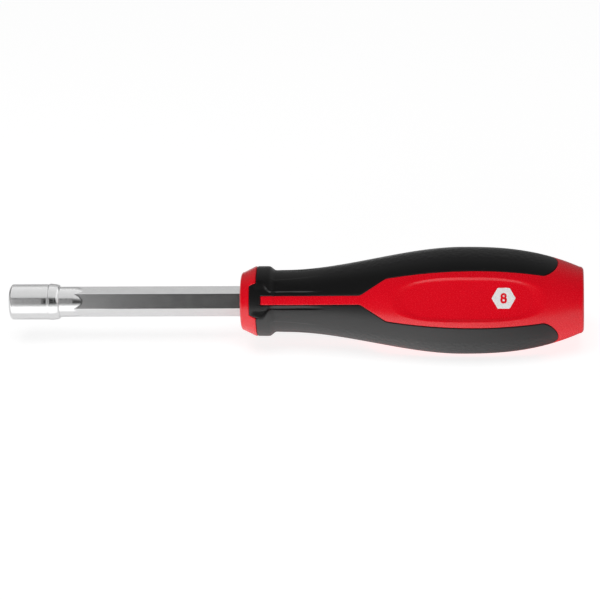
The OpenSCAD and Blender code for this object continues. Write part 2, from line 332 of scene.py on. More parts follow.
def stations(start, *stretches):
    """Stations through stretches that follow each other, each given by its end and its count of steps."""
    found = [np.array([start], float)]
    for end, count in stretches:
        found.append(steps(found[-1][-1], end, count)[1:])
    return np.concatenate(found)


# Shape of the handle

def mean_radius(z):
    nose_cone = mix(NOSE_D, COLLAR_D, (z - NOSE_ROUND) / (COLLAR_START - NOSE_ROUND)) / 2
    nose_edge = mix(NOSE_FRONT_D, NOSE_D, np.sqrt(1 - np.clip(1 - z / NOSE_ROUND, 0, 1) ** 2)) / 2
    nose = np.where(z < NOSE_ROUND, nose_edge, nose_cone)
    slope = mix(COLLAR_D, GRIP_NECK_D, (z - COLLAR_END) / COLLAR_SLOPE) / 2
    swell = mix(GRIP_NECK_D, BELLY_D, ease(z, SWELL_START, BELLY_AT)) / 2
    rear = mix(BELLY_D, BUTT_D, share_of(z, BELLY_AT, HANDLE_LENGTH) ** REAR_EXPONENT) / 2
    return np.select(
        [z <= COLLAR_START, z <= COLLAR_END, z <= NECK_START, z <= BELLY_AT],
        [nose, np.full_like(z, COLLAR_D / 2), slope, swell],
        rear,
    )


def profile(z):
    """Mean radius with the creases of the collar eased."""
    shifts = np.linspace(-CREASE_EASE, CREASE_EASE, EASE_SAMPLES)
    eased = np.mean([mean_radius(z + shift) for shift in shifts], axis=0)
    return np.where((z > NOSE_ROUND) & (z < SWELL_START), eased, mean_radius(z))


def lobe_share(z):
    front = mix(NECK_LOBE_SHARE, BELLY_LOBE_SHARE, ease(z, SWELL_START, BELLY_AT))
    rear = mix(BELLY_LOBE_SHARE, BUTT_LOBE_SHARE, share_of(z, BELLY_AT, HANDLE_LENGTH) ** 2)
    return np.where(z <= BELLY_AT, front, rear)


def off_panel(angle):
    """Angle from the middle of the nearest panel, 0 to CREST."""
    turn = np.mod(angle, SECTOR_TURN)
    return np.minimum(turn, SECTOR_TURN - turn)


def plain_radius(z, angle):
    return profile(z) * (1 - lobe_share(z) * np.cos(SECTORS * angle))


def channel(z, phi):
    """How far inside the channel beside a stripe a place is, 0 to 1, and the channel's depth there."""
    side = profile(z) * np.sin(phi)
    half = mix(*CHANNEL_HALF_WIDTHS, ease(z, CHANNEL_NARROWS_AT, CHANNEL_NARROWS_AT + COLLAR_SLOPE))
    wall = mix(CHANNEL_MOUTH_WALL, CHANNEL_WALL, ease(z, *CHANNEL_MOUTH))
    foot = half - CHANNEL_WALL
    inside = 1 - ease(side, foot, foot + wall)
    through_collar = np.where(z < SWELL_START, np.clip(profile(z) - CHANNEL_R, 0, None), 0)
    fade = ease(z, COLLAR_END, NECK_START) * (1 - ease(z, *GROOVE_FADE))
    groove = GROOVE_DEPTH * fade * mix(GROOVE_EDGE_SHARE, 1, share_of(side, STRIPE_W / 2, foot))
    return inside, through_collar + groove


def relief(z, angle):
    """What the channels, the step along the neck and the dip behind the collar take off the radius."""
    phi = off_panel(angle)
    inside, depth = channel(z, phi)
    step_edge = mix(*NECK_STEP_ANGLES, share_of(z, NECK_START, NECK_STEP_FADE[1]))
    on_crest = ease(phi, step_edge, step_edge + NECK_STEP_WALL)
    step_fade = ease(z, COLLAR_END, NECK_START) * (1 - ease(z, *NECK_STEP_FADE))
    behind_collar = np.exp(-(((z - NECK_START) / COLLAR_SLOPE) ** 2))
    in_dip = (1 - inside) * (1 - ease(phi, *DIP_ANGLES))
    return inside * depth + on_crest * NECK_STEP_DEPTH * step_fade + DIP_DEPTH * behind_collar * in_dip


def radius(z, angle):
    return plain_radius(z, angle) - relief(z, angle)


def on_axis(z, angle, r):
    """Points in metres, in the frame of the part."""
    z, angle, r = np.broadcast_arrays(z, angle, r)
    return POINT_SCALE * np.stack([EXPOSED_LENGTH + z, r * np.sin(angle), -r * np.cos(angle)], axis=-1)


def on_handle(z, angle):
    z, angle = np.broadcast_arrays(np.asarray(z, float), np.asarray(angle, float))
    return on_axis(z, angle, radius(z, angle))


def side_angle(z, side, shape=radius):
    """Angle from a panel's middle at which the handle's surface is this far to the side."""
    phi = np.arcsin(np.clip(side / shape(z, 0 * z), -1, 1))
    for _ in range(SIDE_ROUNDS):
        phi = np.arcsin(np.clip(side / shape(z, phi), -1, 1))
    return phi


def raw_panel_half(z):
    arrow = mix(STRIPE_W, PANEL_FRONT_W, (z - PANEL_START) / ARROW_LENGTH)
    front = mix(PANEL_W, PANEL_FRONT_W, share_of(z, PANEL_WIDEST_AT, ARROW_END) ** 2)
    rear = mix(PANEL_W, PANEL_REAR_W, share_of(z, PANEL_WIDEST_AT, PANEL_REAR_AT) ** 2)
    return 0.5 * np.select(
        [z <= PANEL_START, z <= ARROW_END, z <= PANEL_WIDEST_AT],
        [np.full_like(z, STRIPE_W), arrow, front],
        rear,
    )


def panel_half(z):
    """Half the width of stripe and panel, with the arrow's corners eased."""
    shifts = np.linspace(-ARROW_EASE, ARROW_EASE, EASE_SAMPLES)
    return np.mean([raw_panel_half(z + shift) for shift in shifts], axis=0)


def seam_angle(z, offset):
    """Angle of the seam beside a panel, moved sideways by offset."""
    z = np.asarray(z, float)
    return side_angle(z, panel_half(z) + offset)


def tooth_line(angle, offset):
    """Where the grip starts behind the nose, moved back by offset."""
    phi = off_panel(angle)
    share = share_of(phi, *TOOTH_ANGLES)
    run = NOSE_D / 2 * (TOOTH_ANGLES[1] - TOOTH_ANGLES[0])
    slant = math.hypot(1, (TOOTH_END - TONGUE_START) / run)
    on_slant = 4 * share * (1 - share)
    return mix(TONGUE_START, TOOTH_END, ease(phi, *TOOTH_ANGLES)) + offset * mix(1, slant, on_slant)


def lobe_end_at(side, offset):
    """Distance from the nose of a lobe's round end, at a distance to the side of the crest."""
    r = LOBE_END_R - offset
    return LOBE_ARC_AT + np.sqrt(np.clip(r ** 2 - side ** 2, 0, None))


def lobe_corner(offset):
    """Where a lobe's side meets its round end: distance from the nose and angle from the crest."""
    low, high = LOBE_ARC_AT, LOBE_END
    for _ in range(HALVINGS):
        z = np.array((low + high) / 2)
        side = CREST - seam_angle(z, offset)
        if z < lobe_end_at(radius(z, CREST - side) * np.sin(side), offset):
            low = float(z)
        else:
            high = float(z)
    return float(z), float(side)


def lobe_arc(shares, offset, corner):
    """Round end of a lobe, from corner to corner: distances from the nose and angles from the crest."""
    turn = shares * corner[1]
    z = np.full_like(turn, corner[0])
    for _ in range(ARC_ROUNDS):
        z = lobe_end_at(radius(z, CREST + turn) * np.sin(turn), offset)
    return z, turn


# Mesh building

def new_object(name, data):
    made = bpy.data.objects.new(name, data)
    bpy.context.scene.collection.objects.link(made)
    return made


def from_axis(place):
    return Vector((0, place.y, place.z))


class Skin:
    """Grids of points that are welded into one skin. An open skin is rounded at its edges and closed."""

    def __init__(self):
        self.bm = bmesh.new()

    def grid(self, points, around=False):
        rows, columns = points.shape[:2]
        verts = [[self.bm.verts.new(p) for p in row] for row in points]
        for i in range(rows - 1):
            for j in range(columns if around else columns - 1):
                k = (j + 1) % columns
                self.bm.faces.new((verts[i][j], verts[i][k], verts[i + 1][k], verts[i + 1][j]))

    def weld(self):
        bmesh.ops.remove_doubles(self.bm, verts=self.bm.verts, dist=WELD_DISTANCE)
        bmesh.ops.recalc_face_normals(self.bm, faces=self.bm.faces)

    def face_outward(self):
        self.bm.normal_update()
        for island in self.islands():
            facing = sum(from_axis(f.calc_center_median()).dot(f.normal) * f.calc_area() for f in island)
            if facing < 0:
                bmesh.ops.reverse_faces(self.bm, faces=island)
        self.bm.normal_update()

    def islands(self):
        """Faces of each stretch of skin that hangs together."""
        left = set(self.bm.faces)
        found = []
        while left:
            waiting = [left.pop()]
            island = []
            while waiting:
                face = waiting.pop()
                island.append(face)
                beside = {near for edge in face.edges for near in edge.link_faces} & left
                left -= beside
                waiting.extend(beside)
            found.append(island)
        return found

    def open_edges(self):
        """Open edges as pairs of vertices, and for each vertex the outward directions of its two edges."""
        edges = []
        outward = {}
        for edge in self.bm.edges:
            if edge.is_boundary:
                corner = edge.link_loops[0]
                a, b = corner.vert, corner.link_loop_next.vert
                out = (b.co - a.co).cross(corner.face.normal).normalized()
                edges.append((a, b))
                outward.setdefault(a, []).append(out)
                outward.setdefault(b, []).append(out)
        return edges, outward

    def rolled(self, v, first, second, r, drop, roll_steps):
        """Vertices from v down its rolled edge, the last of them on the inner skin."""
        between = (first + second).normalized()
        across = between / max(between.dot(first), MITRE_LIMIT)
        places = []
        for turn in steps(0, math.pi / 2, roll_steps)[1:]:
            places.append(v.co + across * r * math.sin(turn) - v.normal * r * (1 - math.cos(turn)))
        places.append(v.co + across * r + drop)
        return [v] + [self.bm.verts.new(place) for place in places]

    def close(self, roll, drop, roll_steps=ROLL_STEPS):
        """Rolls open edges down and adds an inner skin, by functions that give a vertex's roll and drop."""
        faces = [list(f.verts) for f in self.bm.faces]
        outer = list(self.bm.verts)
        edges, outward = self.open_edges()
        rings = {}
        for v, (first, second) in outward.items():
            rings[v] = self.rolled(v, first, second, roll(v) * POINT_SCALE, drop(v), roll_steps)
        for a, b in edges:
            for i in range(roll_steps + 1):
                self.bm.faces.new((rings[b][i], rings[a][i], rings[a][i + 1], rings[b][i + 1]))
        lowered = {}
        for v in outer:
            lowered[v] = rings[v][-1] if v in rings else self.bm.verts.new(v.co + drop(v))
        for corners in faces:
            self.bm.faces.new([lowered[v] for v in reversed(corners)])

    def piece(self, name, material, slot=None, replaces=None, sharp=SHARP_ANGLE):
        mesh = bpy.data.meshes.new(name)
        self.bm.to_mesh(mesh)
        self.bm.free()
        mesh.polygons.foreach_set("use_smooth", [True] * len(mesh.polygons))
        mesh.set_sharp_from_angle(angle=sharp)
        mesh.materials.append(material)
        piece = new_object(name, mesh)
        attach(piece, "root")
        if replaces:
            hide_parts(replaces)


# Shaft and magnet

def shaft_angles():
    """Angles round the shank: even on the flats, closer together on its rounded corners."""
    flat_half = (SHANK_R - SHANK_CORNER_R) * math.tan(HALF_HEX_TURN)
    flat = np.arctan2(steps(-flat_half, flat_half, 18), SHANK_R)
    turns = steps(0, HEX_TURN, 10)[1:-1] - HALF_HEX_TURN
    hub = (SHANK_R - SHANK_CORNER_R) / math.cos(HALF_HEX_TURN)
    out = hub + SHANK_CORNER_R * np.cos(turns)
    corner = np.arctan2(SHANK_CORNER_R * np.sin(turns), out) + HALF_HEX_TURN
    side = np.concatenate([flat, corner])
    return np.concatenate([side + i * HEX_TURN for i in range(HEX_SIDES)])


def from_flat(angle):
    """Angle from the middle of the nearest flat."""
    return np.abs(np.mod(angle + HALF_HEX_TURN, HEX_TURN) - HALF_HEX_TURN)


def shank_radius(angle, grown=0.0):
    """Hexagon with rounded corners."""
    across = SHANK_R + grown
    off_flat = from_flat(angle)
    off_corner = HALF_HEX_TURN - off_flat
    hub = (across - SHANK_CORNER_R) / math.cos(HALF_HEX_TURN)
    root = np.clip(SHANK_CORNER_R ** 2 - (hub * np.sin(off_corner)) ** 2, 0, None)
    corner = hub * np.cos(off_corner) + np.sqrt(root)
    flat = across / np.cos(off_flat)
    flat_half = (across - SHANK_CORNER_R) * math.tan(HALF_HEX_TURN)
    return np.where(across * np.tan(off_flat) > flat_half, corner, flat)


def pocket_radius(angle):
    """Hexagon of the socket with a round pocket in each corner."""
    corner_r = SOCKET_AF / math.sqrt(3)
    off_flat = from_flat(angle)
    off_corner = HALF_HEX_TURN - off_flat
    hub = corner_r - CORNER_POCKET_R
    root = CORNER_POCKET_R ** 2 - (hub * np.sin(off_corner)) ** 2
    pocket = np.where(root > 0, hub * np.cos(off_corner) + np.sqrt(np.clip(root, 0, None)), 0)
    trimmed_r = corner_r - CORNER_POCKET_R / 4
    hexagon = np.minimum(SOCKET_AF / 2 / np.cos(off_flat), trimmed_r)
    return np.maximum(hexagon, pocket)


def rounded_corner(start, corner, end, r, count=4):
    """Points that round a corner of a profile, r back along both of its sides."""
    start, corner, end = (np.array(p, float) for p in (start, corner, end))
    a = corner + (start - corner) / np.linalg.norm(start - corner) * r
    b = corner + (end - corner) / np.linalg.norm(end - corner) * r
    return [tuple((1 - t) ** 2 * a + 2 * t * (1 - t) * corner + t ** 2 * b) for t in steps(0, 1, count)]


def head_profile():
    """Outside of the head and neck, from the mouth's ring to the run-out, as (x, radius)."""
    ring = (0.0, HEAD_R - MOUTH_CHAMFER)
    rim = (MOUTH_CHAMFER, HEAD_R)
    points = rounded_corner((0.0, NECK_R), ring, rim, EDGE_BREAK)
    points += rounded_corner(ring, rim, (HEAD_LENGTH, HEAD_R), 2 * EDGE_BREAK)
    groove_at = BEAD_START - HEAD_GROOVE_W
    points += [(x, HEAD_R) for x in steps(HEAD_ROWS_START, groove_at, 6)]
    for share in steps(0, 1, 6)[1:]:
        sunk = HEAD_GROOVE_D * math.sin(math.pi * share)
        points.append((groove_at + share * HEAD_GROOVE_W, HEAD_R - sunk))
    for share in steps(0, 1, 18)[1:]:
        fall = BEAD_FALL * max(share - BEAD_TOP_SHARE, 0)
        rise = BEAD_RISE * (float(ease(share, 0, BEAD_RISE_SHARE)) - fall)
        points.append((mix(BEAD_START, BEAD_END, share), HEAD_R + rise))
    drop = points[-1][1] - NECK_R
    for turn in steps(0, math.pi / 2, 14)[1:]:
        points.append((mix(BEAD_END, SHOULDER_END, math.sin(turn)), NECK_R + drop * math.cos(turn)))
    neck_rows = steps(SHOULDER_END + EDGE_BREAK, HEX_START - NECK_ROWS_GAP, 6)
    points += [(x, NECK_R) for x in neck_rows]
    return points


def socket_rows(angle):
    """Rings of the socket as (x, radii), from its bottom to the broken edge of its mouth."""
    pocket = pocket_radius(angle)
    lead_in = SOCKET_AF / math.sqrt(3) + LEAD_IN_RIM
    first = SOCKET_DEPTH - POCKET_ROW_MARGINS[0]
    last = LEAD_IN_DEPTH + POCKET_ROW_MARGINS[1]
    bend_x, bend_back, bend_out = EDGE_BREAK / 3, EDGE_BREAK / 2, EDGE_BREAK / 5
    rows = [(SOCKET_DEPTH, pocket)]
    rows += [(x, pocket) for x in steps(first, last, 8)]
    rows += [(x, np.maximum(pocket, lead_in - x)) for x in steps(LEAD_IN_DEPTH, EDGE_BREAK, 10)]
    rows += [(bend_x, np.maximum(pocket, lead_in - bend_back) + bend_out)]
    rows += [(0.0, np.maximum(pocket, lead_in) + EDGE_BREAK)]
    return rows


def shaft_rows(angle):
    """Rings of the shaft as (x, radii), from its buried end through the bore, out of the mouth and back."""
    ring = np.ones_like(angle)
    seat_end = SOCKET_DEPTH + MAGNET_LENGTH
    rows = [(x, STUD_R * ring) for x in (SHAFT_LENGTH, HEX_START, seat_end)]
    rows += [(x, MAGNET_SEAT_R * ring) for x in (seat_end, SOCKET_DEPTH)]
    rows += socket_rows(angle)
    rows += [(x, r * ring) for x, r in head_profile()]
    hexagon = shank_radius(angle)
    slope = (NECK_R - SHANK_R) / RUNOUT_LENGTH
    for x in steps(HEX_START - RUNOUT_ROW_MARGINS[0], RUNOUT_END + RUNOUT_ROW_MARGINS[1], 26):
        cone = np.minimum(NECK_R, NECK_R - slope * (x - HEX_START))
        rows.append((x, np.maximum(hexagon, cone)))
    rows += [(x, hexagon) for x in steps(RUNOUT_END + SHANK_ROWS_GAP, SHAFT_LENGTH, 24)]
    return rows


def loft(rows, angle):
    """Closed skin through rings of (x, radii) at the same angles, the last joined to the first."""
    skin = Skin()
    points = np.array([on_axis(x - EXPOSED_LENGTH, angle, r) for x, r in rows])
    skin.grid(np.concatenate([points, points[:1]]), around=True)
    skin.weld()
    return skin


def build_shaft(material):
    angle = shaft_angles()
    skin = loft(shaft_rows(angle), angle)
    skin.piece("shaft_dressed", material, "steel", "shaft", STEEL_SHARP_ANGLE)


def build_magnet(material):
    angle = steps(0, 2 * math.pi, 72)[:-1]
    ring = np.ones_like(angle)
    front, back = SOCKET_DEPTH, SOCKET_DEPTH + MAGNET_LENGTH
    inner, outer = MAGNET_BORE_R, MAGNET_R
    c = MAGNET_CHAMFER
    outline = [(front, inner + c), (front, outer - c), (front + c, outer), (back - c, outer)]
    outline += [(back, outer - c), (back, inner + c), (back - c, inner), (front + c, inner)]
    skin = loft([(x, r * ring) for x, r in outline], angle)
    skin.piece("magnet_dressed", material, "magnet", "ring_magnet")


# Grip

def lobe_shares():
    """Places across a lobe, from side to side, closer together where the neck has its edges."""
    half = stations(0, *LOBE_STRETCHES)
    return np.concatenate([-half[:0:-1], half])


def lobe_tail(shares, offset, corner):
    """Grid of a lobe's tail, bowed to follow its sides: distances from the nose, angles from the crest."""
    tail = mix(LOBE_TAIL_AT, corner[0], 1 - (1 - steps(0, 1, 14)) ** TAIL_CROWDING)
    side = CREST - seam_angle(tail, offset)
    arc_z, arc_turn = lobe_arc(shares, offset, corner)
    along = share_of(tail, LOBE_TAIL_AT, corner[0])[:, None]
    bow = side[:, None] - mix(side[0], side[-1], along)
    turn = mix(shares * side[0], arc_turn, along) + bow * shares
    return mix(LOBE_TAIL_AT, arc_z[None, :], along), turn


def build_grip(material):
    offset = GRIP_ROLL + SEAM_GAP / 2
    front_offset = GRIP_FRONT_ROLL + SEAM_GAP / 2
    start = STRIPE_START - offset
    half_start = float(seam_angle(STRIPE_START, offset))
    shares = lobe_shares()
    rows = stations(start, *GRIP_NECK_STRETCHES, (PANEL_START - ARROW_MARGIN, 12),
                    (ARROW_END + ARROW_MARGIN, 22), (LOBE_TAIL_AT, 48))
    side = CREST - seam_angle(np.maximum(rows, STRIPE_START), offset)
    tail_z, tail_turn = lobe_tail(shares, offset, lobe_corner(offset))
    front_share = steps(0, 1, 16)[:, None] ** FRONT_CROWDING
    skin = Skin()
    for k in range(SECTORS):
        panel = k * SECTOR_TURN
        crest = panel + CREST
        for angle in (panel + steps(-1, 1, 14) * half_start, crest + shares * (CREST - half_start)):
            first = tooth_line(angle, front_offset)
            skin.grid(on_handle(mix(first[None, :], start, front_share), angle[None, :]))
        skin.grid(on_handle(rows[:, None], crest + shares[None, :] * side[:, None]))
        skin.grid(on_handle(tail_z, crest + tail_turn))
    skin.weld()
    skin.face_outward()
    front_limit = POINT_SCALE * (EXPOSED_LENGTH + start - FRONT_MARGIN)

    def roll(v):
        return GRIP_FRONT_ROLL if v.co.x < front_limit else GRIP_ROLL

    def inward(v):
        return -from_axis(v.co).normalized() * GRIP_SKIN * POINT_SCALE

    skin.close(roll, inward)
    skin.piece("grip_dressed", material, "soft_grip", "grip_overmould")


# Hard body

def nose_grids(skin):
    """Flat front of the nose round the shank, and its side as far as the teeth of the grip."""
    offset = BODY_ROLL + SEAM_GAP / 2
    angle = steps(0, 2 * math.pi, 288)[:-1]
    hole = shank_radius(angle, SHANK_GAP)
    end = tooth_line(angle, -offset)
    flat = mix(hole[None, :], NOSE_FRONT_D / 2, steps(0, 1, 3)[:, None])
    skin.grid(on_axis(0 * flat, angle[None, :], flat), around=True)
    share = 1 - np.cos(steps(0, math.pi / 2, 22))
    z = share[:, None] * end[None, :]
    r = np.where(z > 0, plain_radius(z, angle[None, :]), NOSE_FRONT_D / 2)
    skin.grid(on_axis(z, angle[None, :], r), around=True)


def field_oval(tau, length, width):
    power = 2 / FIELD_EXPONENT
    along = np.sign(np.cos(tau)) * np.abs(np.cos(tau)) ** power * length / 2
    side = np.sign(np.sin(tau)) * np.abs(np.sin(tau)) ** power * width / 2
    return along, side


def oval_stations(columns, rows):
    """Parameters round the oval: columns across each blunt end, and rows along each side."""
    tau = steps(0, math.pi / 2, 4000)
    along, side = field_oval(tau, FIELD_LENGTH, FIELD_W)
    travel = np.concatenate([[0], np.cumsum(np.hypot(np.diff(along), np.diff(side)))])
    end_travel = float(np.interp(FIELD_BLUNT_SHARE * FIELD_W / 2, side, travel))
    end_half = np.interp(steps(0, end_travel, columns // 2), travel, tau)
    side_half = np.interp(steps(end_travel, travel[-1], rows // 2), travel, tau)
    front = np.concatenate([-end_half[:0:-1], end_half])
    flank = np.concatenate([side_half, math.pi - side_half[-2::-1]])
    return front, flank


def field_height(z):
    """Distance of the sunk field's flat floor from the axis."""
    off_middle = (z - FIELD_AT) / (FIELD_LENGTH / 2)
    toward_end = np.clip(off_middle ** 2, 0, FIELD_END_LIMIT)
    return plain_radius(z, 0 * z) - mix(FIELD_DEPTH, FIELD_END_DEPTH, toward_end)


def field_points(z, side, sunk, panel):
    """Points along and to the side of a panel: on its surface, or sunk to the field's floor."""
    phi = side_angle(z, side, plain_radius)
    high = plain_radius(z, phi) * np.cos(phi)
    drop = high - field_height(z)
    cut = (drop + np.sqrt(drop ** 2 + FIELD_EASE ** 2)) / 2
    height = high - sunk * cut
    return on_axis(z, panel + np.arctan2(side, height), np.hypot(side, height))


def panel_loop(columns, flank_z, offset, corner):
    """Edge of a framed panel, round from the middle of its rear: distances along and to the side."""
    def sideways(z, phi):
        return plain_radius(z, phi) * np.sin(phi)

    rear_half = CREST - corner[1]
    beside_lobe = seam_angle(np.minimum(flank_z, corner[0]), -offset)
    flank_side = sideways(flank_z, np.where(flank_z <= corner[0], beside_lobe, rear_half))
    across = steps(-1, 1, columns)
    rear_z = np.full_like(across, BUTT_RING_AT)
    rear_side = sideways(rear_z, across * rear_half)
    front_z = np.full_like(across, PANEL_FRAME_START)
    front_side = sideways(front_z, across * float(seam_angle(PANEL_FRAME_START, -offset)))
    half = columns // 2
    z = np.concatenate([rear_z[half:-1], flank_z[:0:-1], front_z[:-1], flank_z[:-1], rear_z[:half]])
    side = np.concatenate([rear_side[half:-1], flank_side[:0:-1], front_side[:0:-1], -flank_side[:-1],
                           rear_side[:half]])
    return z, side


def panel_frame(skin, panel, columns, flank_z, offset, corner):
    """Panel round its sunk field: rings of points from its edge to the middle of the field's floor."""
    front, flank = oval_stations(columns, len(flank_z) - 1)
    half = columns // 2
    far_front, far_flank = front[:-1] + math.pi, flank[:-1] + math.pi
    tau = np.concatenate([front[half:-1], flank[:-1], far_front, far_flank, front[:half]])
    edge_z, edge_side = panel_loop(columns, flank_z, offset, corner)
    top_z, top_side = field_oval(tau, FIELD_LENGTH, FIELD_W)
    foot_z, foot_side = field_oval(tau, FIELD_LENGTH - 2 * FIELD_END_WALL, FIELD_W - 2 * FIELD_SIDE_WALL)
    spine_z = foot_z * FIELD_SPINE_SHARE
    rings = []
    for turn in steps(0, math.pi, 12):
        t = (1 - math.cos(turn)) / 2
        rings.append((mix(edge_z, FIELD_AT + top_z, t), mix(edge_side, top_side, t), 0.0))
    for t in steps(0, 1, 9)[1:]:
        sunk = t - FIELD_WALL_BEND * math.sin(2 * math.pi * t) / (2 * math.pi)
        rings.append((FIELD_AT + mix(top_z, foot_z, t), mix(top_side, foot_side, t), sunk))
    for t in steps(0, 1, 10)[1:]:
        rings.append((FIELD_AT + mix(foot_z, spine_z, t), mix(foot_side, 0, t), 1.0))
    skin.grid(np.array([field_points(z, side, sunk, panel) for z, side, sunk in rings]), around=True)


def stripe_grid(skin, panel, offset):
    """Stripe along the neck and over the arrow to the framed panel, ramped down at its start."""
    z = stations(STRIPE_START + offset, (SWELL_START, 24), (PANEL_START - ARROW_MARGIN, 30),
                 (PANEL_FRAME_START, 20))[:, None]
    angle = panel + steps(-1, 1, PANEL_COLUMNS)[None, :] * seam_angle(z, -offset)
    ramp = 1 - ease(z, STRIPE_START, STRIPE_START + STRIPE_RAMP)
    skin.grid(on_axis(z, angle, radius(z, angle) - STRIPE_RAMP_DROP * ramp))


def butt_grid(skin, angle):
    """Rear of the body over a stretch of angle: its drawn-in side, rounded edge, flat end and bore."""
    side_z = steps(BUTT_RING_AT, BUTT_START, 9)
    rows = [(z, plain_radius(np.full_like(angle, z), angle)) for z in side_z]
    last_z, last_r = rows[-1]
    for turn in steps(0, math.pi / 2, 8)[1:]:
        rows.append((last_z + BUTT_ROUND * math.sin(turn), last_r - BUTT_ROUND * (1 - math.cos(turn))))
    flat_r = rows[-1][1]
    bore_r = np.full_like(angle, REAR_BORE_R)
    bore_rim = bore_r + REAR_BORE_CHAMFER
    rows += [(HANDLE_LENGTH, mix(flat_r, bore_rim, t)) for t in BUTT_FLAT_SHARES]
    for t in BUTT_CHAMFER_SHARES:
        rows.append((HANDLE_LENGTH - t * REAR_BORE_CHAMFER, mix(bore_rim, bore_r, t)))
    bore_depths = steps(BORE_ROWS_START, REAR_BORE_DEPTH - BODY_ROLL, 6)
    rows += [(HANDLE_LENGTH - depth, bore_r) for depth in bore_depths]
    skin.grid(np.array([on_axis(z, angle, r) for z, r in rows]))


def body_grids(skin):
    """Stripes, panels and butt as one skin."""
    offset = BODY_ROLL + SEAM_GAP / 2
    corner = lobe_corner(-offset)
    across = steps(-1, 1, PANEL_COLUMNS)
    tail = steps(corner[0], BUTT_RING_AT, 8)
    flank_z = np.concatenate([steps(PANEL_FRAME_START, corner[0], 76), tail[1:]])
    arc_z, arc_turn = lobe_arc(steps(-1, 1, 32), -offset, corner)
    arc_rows = mix(arc_z[None, :], BUTT_RING_AT, share_of(tail, corner[0], BUTT_RING_AT)[:, None])
    for k in range(SECTORS):
        panel = k * SECTOR_TURN
        stripe_grid(skin, panel, offset)
        panel_frame(skin, panel, PANEL_COLUMNS, flank_z, offset, corner)
        skin.grid(on_handle(arc_rows, panel + CREST + arc_turn[None, :]))
        for ring_angle in (panel + across * (CREST - corner[1]), panel + CREST + arc_turn):
            butt_grid(skin, ring_angle)


def build_body(material):
    skin = Skin()
    nose_grids(skin)
    body_grids(skin)
    skin.weld()
    skin.face_outward()
    skin.close(lambda v: BODY_ROLL, lambda v: -v.normal * BODY_SKIN * POINT_SCALE)
    skin.piece("body_dressed", material, "red_plastic", "handle_body")


# Size mark

def snapped_cells(inside, cell, half):
    """Cells of a square grid with their middles inside a shape, their outer corners moved onto its edge."""
    count = int(half / cell)
    keep = {}
    for i in range(-count, count):
        for j in range(-count, count):
            if inside(np.array([(i + 0.5) * cell, (j + 0.5) * cell])) < 0:
                keep[(i, j)] = [(i, j), (i + 1, j), (i + 1, j + 1), (i, j + 1)]
    places = {}
    for corners in keep.values():
        for i, j in corners:
            place = np.array([i * cell, j * cell])
            around = [(i - di, j - dj) in keep for di in (0, 1) for dj in (0, 1)]
            if not all(around):
                for _ in range(SNAP_ROUNDS):
                    place = place - inside(place) * slope_of(inside, place)
            places[(i, j)] = place
    return places, list(keep.values())


def slope_of(inside, place):
    reaches = SLOPE_REACH * np.eye(2)
    slope = np.array([inside(place + reach) - inside(place - reach) for reach in reaches])
    return slope / (np.linalg.norm(slope) + TINY)


def hexagon_edge(place):
    """Distance outside a hexagon that stands on a flat side."""
    x, y = np.abs(place)
    slanted = x * math.cos(HALF_HEX_TURN) + y * math.sin(HALF_HEX_TURN)
    return max(y, slanted) - MARK_R * math.cos(HALF_HEX_TURN)


def numeral_edge(place):
    """Distance outside a numeral 8: two rings, one above the other."""
    distances = []
    for rise, outer, inner in NUMERAL_RINGS:
        middle = (outer + inner) / 2
        distances.append(abs(np.hypot(place[0], place[1] - rise) - middle) - (outer - inner) / 2)
    return min(distances)


def build_mark(name, edge, cell, lift, material):
    """Thin print that lies on the floor of the sunk field."""
    places, cells = snapped_cells(edge, cell, MARK_R + 2 * cell)
    skin = Skin()
    verts = {}
    for key, place in places.items():
        z = np.array(MARK_X - EXPOSED_LENGTH + place[0])
        side = -(place[1] + MARK_RISE)
        height = float(field_height(z)) + lift
        angle = MARK_PANEL * SECTOR_TURN + math.atan2(side, height)
        verts[key] = skin.bm.verts.new(on_axis(z, angle, math.hypot(side, height)))
    for corners in cells:
        skin.bm.faces.new([verts[c] for c in corners])
    skin.weld()
    skin.face_outward()
    skin.close(lambda v: lift / 2, lambda v: -v.normal * MARK_SKIN * POINT_SCALE, MARK_ROLL_STEPS)
    skin.piece(name, material)


# Finishes

class Nodes:
    """Node tree of a material or a world, with short calls for what it needs."""

    def __init__(self, owner):
        owner.use_nodes = True
        self.nodes = owner.node_tree.nodes
        self.links = owner.node_tree.links

    def node(self, kind, inputs=None, **settings):
        made = self.nodes.new(kind)
        for key, value in settings.items():
            setattr(made, key, value)
        for key, value in (inputs or {}).items():
            if isinstance(value, bpy.types.NodeSocket):
                self.links.new(value, made.inputs[key])
            else:
                made.inputs[key].default_value = value
        return made

    def math(self, operation, first, second=0.0):
        return self.node("ShaderNodeMath", {0: first, 1: second}, operation=operation).outputs[0]

    def mix(self, share, first, second):
        return self.node("ShaderNodeMix", {0: share, 2: first, 3: second}).outputs[0]

    def ramp(self, value, low, high, to_low=0.0, to_high=1.0, interpolation="SMOOTHSTEP"):
        inputs = {"Value": value, 1: low, 2: high, 3: to_low, 4: to_high}
        return self.node("ShaderNodeMapRange", inputs, interpolation_type=interpolation).outputs[0]


